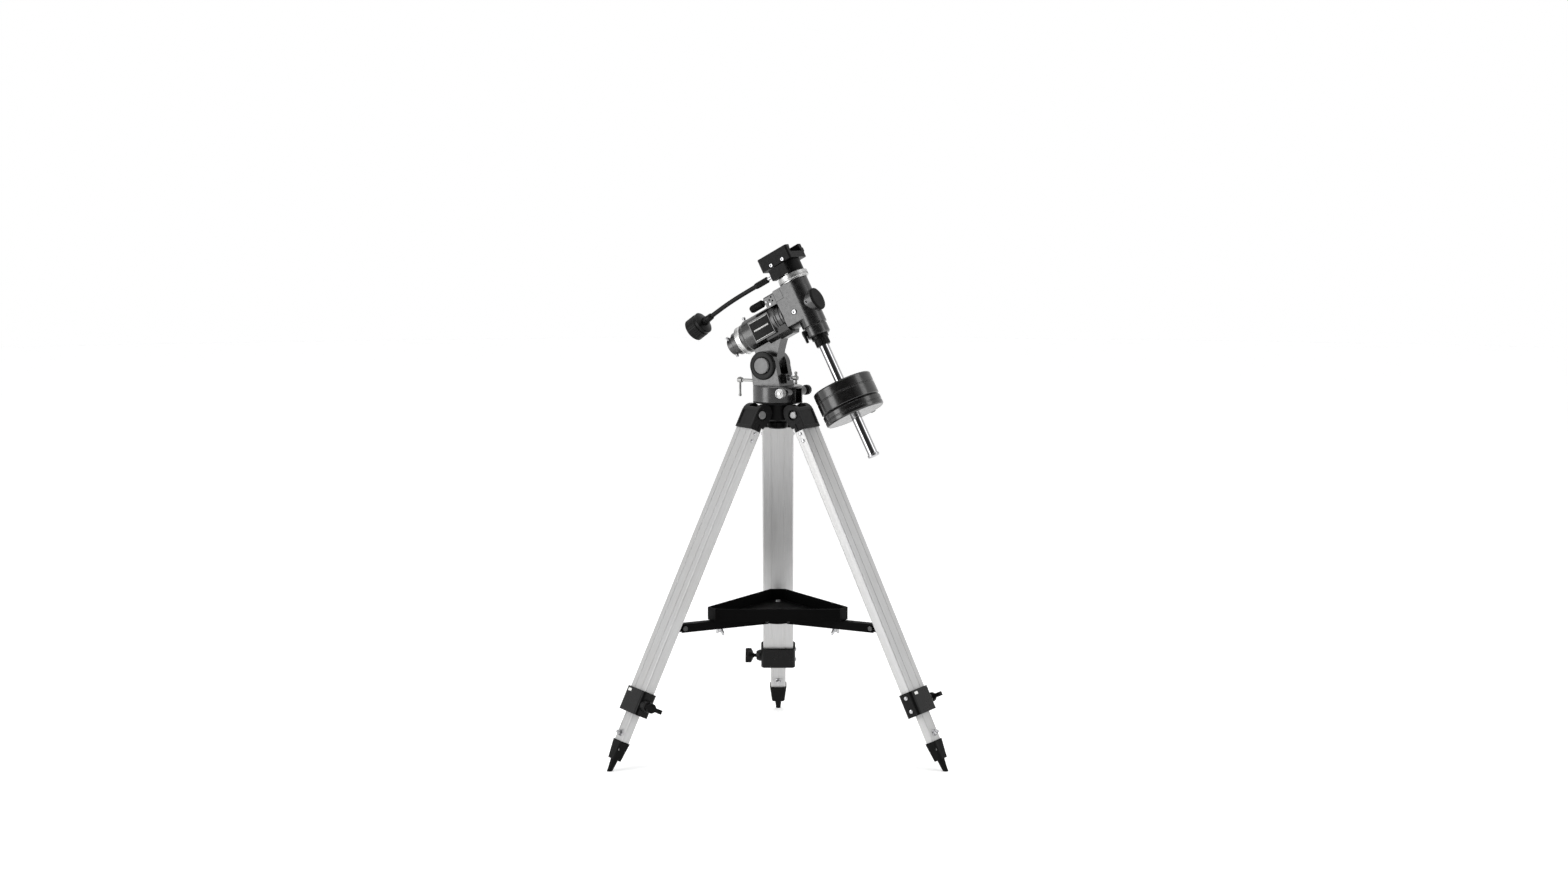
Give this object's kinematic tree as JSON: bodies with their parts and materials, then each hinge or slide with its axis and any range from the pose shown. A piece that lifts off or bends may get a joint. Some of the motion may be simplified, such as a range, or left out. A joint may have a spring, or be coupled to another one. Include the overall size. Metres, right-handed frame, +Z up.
{
  "type": "equatorial telescope mount",
  "caption": "Equatorial telescope mount with counterweights and slow-motion cable on an adjustable aluminium tripod with an accessory tray.",
  "frame": {"origin": "middle of the bounding box at floor level, cable and its knob left out", "axes": "+Z up, +X to the right of a viewer in front, +Y to the back leg; the polar axis heads 29.3 degrees to the front from +X and climbs 27.6 degrees"},
  "size_m": [0.665, 0.6118, 1.0191],
  "materials": {
    "black_casting": "satin black enamel on die castings",
    "grey_casting": "satin dark enamel",
    "leg_aluminium": "satin brushed extrusion",
    "black_plastic": "moulded nylon",
    "foot_rubber": "matte rubber",
    "tray_black": "fine textured plastic",
    "bar_chrome": "polished",
    "screw_steel": "bright zinc",
    "circle_aluminium": "satin turned, with printed divisions",
    "wheel_brass": "cut gear brass",
    "spindle_steel": "ground steel",
    "weight_iron": "gloss black enamel on cast iron",
    "cable_black": "black rubber sleeve over a steel coil"
  },
  "bodies": {
    "stand": {"tripod_hub": "black_casting", "centre_bolt": "black_plastic", "leg_heads": "black_casting", "hinge_bolts": "screw_steel", "upper_leg_1": "leg_aluminium", "upper_leg_2": "leg_aluminium", "upper_leg_3": "leg_aluminium", "leg_collars": "black_plastic", "leg_screws": "screw_steel", "spreader_hub": "black_casting", "spreader_arms": "black_casting", "spreader_brackets": "black_casting", "spreader_pins": "screw_steel", "accessory_tray": "tray_black", "tray_screws": "screw_steel"},
    "azimuth_head": {"azimuth_base": "black_casting", "latitude_yoke": "black_casting", "latitude_pivot": "grey_casting"},
    "azimuth_screw_front": {"azimuth_screw_front": "screw_steel"},
    "azimuth_screw_rear": {"azimuth_screw_rear": "screw_steel"},
    "latitude_bolt_rear": {"latitude_bolt_rear": "grey_casting"},
    "latitude_bolt_front": {"latitude_bolt_front": "grey_casting"},
    "polar_head": {"ra_housing": "black_casting", "ra_worm_cover": "black_casting", "polar_holder": "black_casting", "polar_screws": "screw_steel"},
    "ra_circle": {"ra_circle": "circle_aluminium"},
    "ra_worm": {"ra_worm": "spindle_steel"},
    "ra_clutch": {"ra_clutch_knob": "black_plastic"},
    "dec_head": {"dec_housing": "black_casting", "ra_shaft": "spindle_steel", "ra_worm_wheel": "wheel_brass", "pole_cap": "black_plastic", "dec_worm_wheel": "wheel_brass", "counterweight_bar": "bar_chrome", "bar_nut": "black_plastic", "toe_saver": "black_plastic"},
    "dec_circle": {"dec_circle": "circle_aluminium"},
    "dec_clutch": {"dec_clutch_lever": "black_plastic"},
    "saddle_head": {"dec_shaft": "spindle_steel", "dec_worm_housing": "black_casting", "saddle": "black_casting", "slow_motion_cable": "cable_black"},
    "dec_worm": {"dec_worm": "spindle_steel"},
    "slow_knob": {"slow_motion_knob": "black_plastic"},
    "clamp_1": {"saddle_knob_1": "black_plastic"},
    "clamp_2": {"saddle_knob_2": "black_plastic"},
    "weight_upper": {"counterweight_upper": "weight_iron"},
    "weight_lower": {"counterweight_lower": "weight_iron"},
    "weight_lock_upper": {"weight_knob_upper": "black_plastic"},
    "weight_lock_lower": {"weight_knob_lower": "black_plastic"},
    "extension_1": {"lower_leg_1": "leg_aluminium", "foot_1": "foot_rubber"},
    "leg_lock_1": {"leg_lock_knob_1": "black_plastic"},
    "extension_2": {"lower_leg_2": "leg_aluminium", "foot_2": "foot_rubber"},
    "leg_lock_2": {"leg_lock_knob_2": "black_plastic"},
    "extension_3": {"lower_leg_3": "leg_aluminium", "foot_3": "foot_rubber"},
    "leg_lock_3": {"leg_lock_knob_3": "black_plastic"}
  },
  "joints": [
    {"name": "leg_extension_1", "type": "slide", "parent": "stand", "child": "extension_1", "axis": [0, 0.4297, -0.903], "range_m": [-0.034, 0.36]},
    {"name": "leg_lock_turn_1", "type": "hinge", "parent": "stand", "child": "leg_lock_1", "pos_m": [-0.06, 0.23917, 0.12822], "axis": [-1, 0, 0], "continuous": true},
    {"name": "leg_extension_2", "type": "slide", "parent": "stand", "child": "extension_2", "axis": [-0.3721, -0.2148, -0.903], "range_m": [-0.034, 0.36]},
    {"name": "leg_lock_turn_2", "type": "hinge", "parent": "stand", "child": "leg_lock_2", "pos_m": [-0.24409, -0.28752, 0.12822], "axis": [0.5, -0.866, 0], "continuous": true},
    {"name": "leg_extension_3", "type": "slide", "parent": "stand", "child": "extension_3", "axis": [0.3721, -0.2148, -0.903], "range_m": [-0.034, 0.36]},
    {"name": "leg_lock_turn_3", "type": "hinge", "parent": "stand", "child": "leg_lock_3", "pos_m": [0.30409, -0.1836, 0.12822], "axis": [0.5, 0.866, 0], "continuous": true},
    {"name": "azimuth", "type": "hinge", "parent": "stand", "child": "azimuth_head", "pos_m": [0, -0.07732, 0.72], "axis": [0, 0, 1], "range_deg": [-8, 8]},
    {"name": "azimuth_screw_front_travel", "type": "slide", "parent": "azimuth_head", "child": "azimuth_screw_front", "axis": [-0.4894, -0.8721, 0], "range_m": [-0.00515, 0.00515]},
    {"name": "azimuth_screw_rear_travel", "type": "slide", "parent": "azimuth_head", "child": "azimuth_screw_rear", "axis": [0.4894, 0.8721, 0], "range_m": [-0.00515, 0.00515]},
    {"name": "latitude", "type": "hinge", "parent": "azimuth_head", "child": "polar_head", "pos_m": [-0.01482, -0.069, 0.778], "axis": [-0.4894, -0.8721, 0], "range_deg": [-7.6, 22.4]},
    {"name": "latitude_bolt_rear_travel", "type": "slide", "parent": "azimuth_head", "child": "latitude_bolt_rear", "axis": [0.8721, -0.4894, 0], "range_m": [-0.00421, 0.01222]},
    {"name": "latitude_bolt_front_travel", "type": "slide", "parent": "azimuth_head", "child": "latitude_bolt_front", "axis": [0.8721, -0.4894, 0], "range_m": [-0.00408, 0.01183]},
    {"name": "ra_turn", "type": "hinge", "parent": "polar_head", "child": "dec_head", "pos_m": [0.05546, -0.10844, 0.8989], "axis": [0.7728, -0.4337, 0.4633], "range_deg": [-110, 110]},
    {"name": "ra_worm_spin", "type": "hinge", "parent": "polar_head", "child": "ra_worm", "pos_m": [-0.0056, -0.07418, 0.90009], "axis": [0.4894, 0.8721, 0], "continuous": true},
    {"name": "ra_circle_turn", "type": "hinge", "parent": "polar_head", "child": "ra_circle", "pos_m": [-0.0651, -0.04079, 0.82663], "axis": [0.7728, -0.4337, 0.4633], "continuous": true},
    {"name": "ra_clutch_turn", "type": "hinge", "parent": "polar_head", "child": "ra_clutch", "pos_m": [-0.0388, -0.07274, 0.89531], "axis": [-0.7728, 0.4337, -0.4633], "continuous": true},
    {"name": "dec_turn", "type": "hinge", "parent": "dec_head", "child": "saddle_head", "pos_m": [0.05546, -0.10844, 0.8989], "axis": [-0.404, 0.2267, 0.8862], "continuous": true},
    {"name": "dec_circle_turn", "type": "hinge", "parent": "dec_head", "child": "dec_circle", "pos_m": [0.03122, -0.09484, 0.95207], "axis": [-0.404, 0.2267, 0.8862], "continuous": true},
    {"name": "dec_clutch_turn", "type": "hinge", "parent": "dec_head", "child": "dec_clutch", "pos_m": [0.05421, -0.12618, 0.84306], "axis": [-0.9066, -0.2285, -0.3548], "range_deg": [-45, 45]},
    {"name": "dec_worm_spin", "type": "hinge", "parent": "saddle_head", "child": "dec_worm", "pos_m": [0.01114, -0.11453, 0.96714], "axis": [-0.7728, 0.4337, -0.4633], "continuous": true},
    {"name": "slow_knob_spin", "type": "hinge", "parent": "saddle_head", "child": "slow_knob", "pos_m": [-0.14174, -0.02874, 0.86646], "axis": [-0.7167, 0.4022, -0.5696], "continuous": true},
    {"name": "clamp_turn_1", "type": "hinge", "parent": "saddle_head", "child": "clamp_1", "pos_m": [0.01645, -0.04068, 0.99072], "axis": [0.4894, 0.8721, 0], "continuous": true},
    {"name": "clamp_turn_2", "type": "hinge", "parent": "saddle_head", "child": "clamp_2", "pos_m": [0.03809, -0.05283, 1.00369], "axis": [0.4894, 0.8721, 0], "continuous": true},
    {"name": "weight_upper_slide", "type": "slide", "parent": "dec_head", "child": "weight_upper", "axis": [-0.404, 0.2267, 0.8862], "range_m": [0, 0.081]},
    {"name": "weight_lower_slide", "type": "slide", "parent": "dec_head", "child": "weight_lower", "axis": [0.404, -0.2267, -0.8862], "range_m": [0, 0.079]},
    {"name": "weight_lock_upper_turn", "type": "hinge", "parent": "weight_upper", "child": "weight_lock_upper", "pos_m": [0.16891, -0.09184, 0.7252], "axis": [0.4894, 0.8721, 0], "continuous": true},
    {"name": "weight_lock_lower_turn", "type": "hinge", "parent": "weight_lower", "child": "weight_lock_lower", "pos_m": [0.18285, -0.09966, 0.69463], "axis": [0.4894, 0.8721, 0], "continuous": true}
  ],
  "couplings": [
    {"joint": "azimuth_screw_front_travel", "follows": "azimuth", "m_per_rad": 0.0362},
    {"joint": "azimuth_screw_rear_travel", "follows": "azimuth", "m_per_rad": -0.0362},
    {"joint": "latitude_bolt_rear_travel", "follows": "latitude", "m_per_rad": 0.031},
    {"joint": "latitude_bolt_front_travel", "follows": "latitude", "m_per_rad": 0.03},
    {"joint": "ra_worm_spin", "follows": "ra_turn", "ratio": 48},
    {"joint": "dec_worm_spin", "follows": "dec_turn", "ratio": 40},
    {"joint": "slow_knob_spin", "follows": "dec_turn", "ratio": 40}
  ]
}
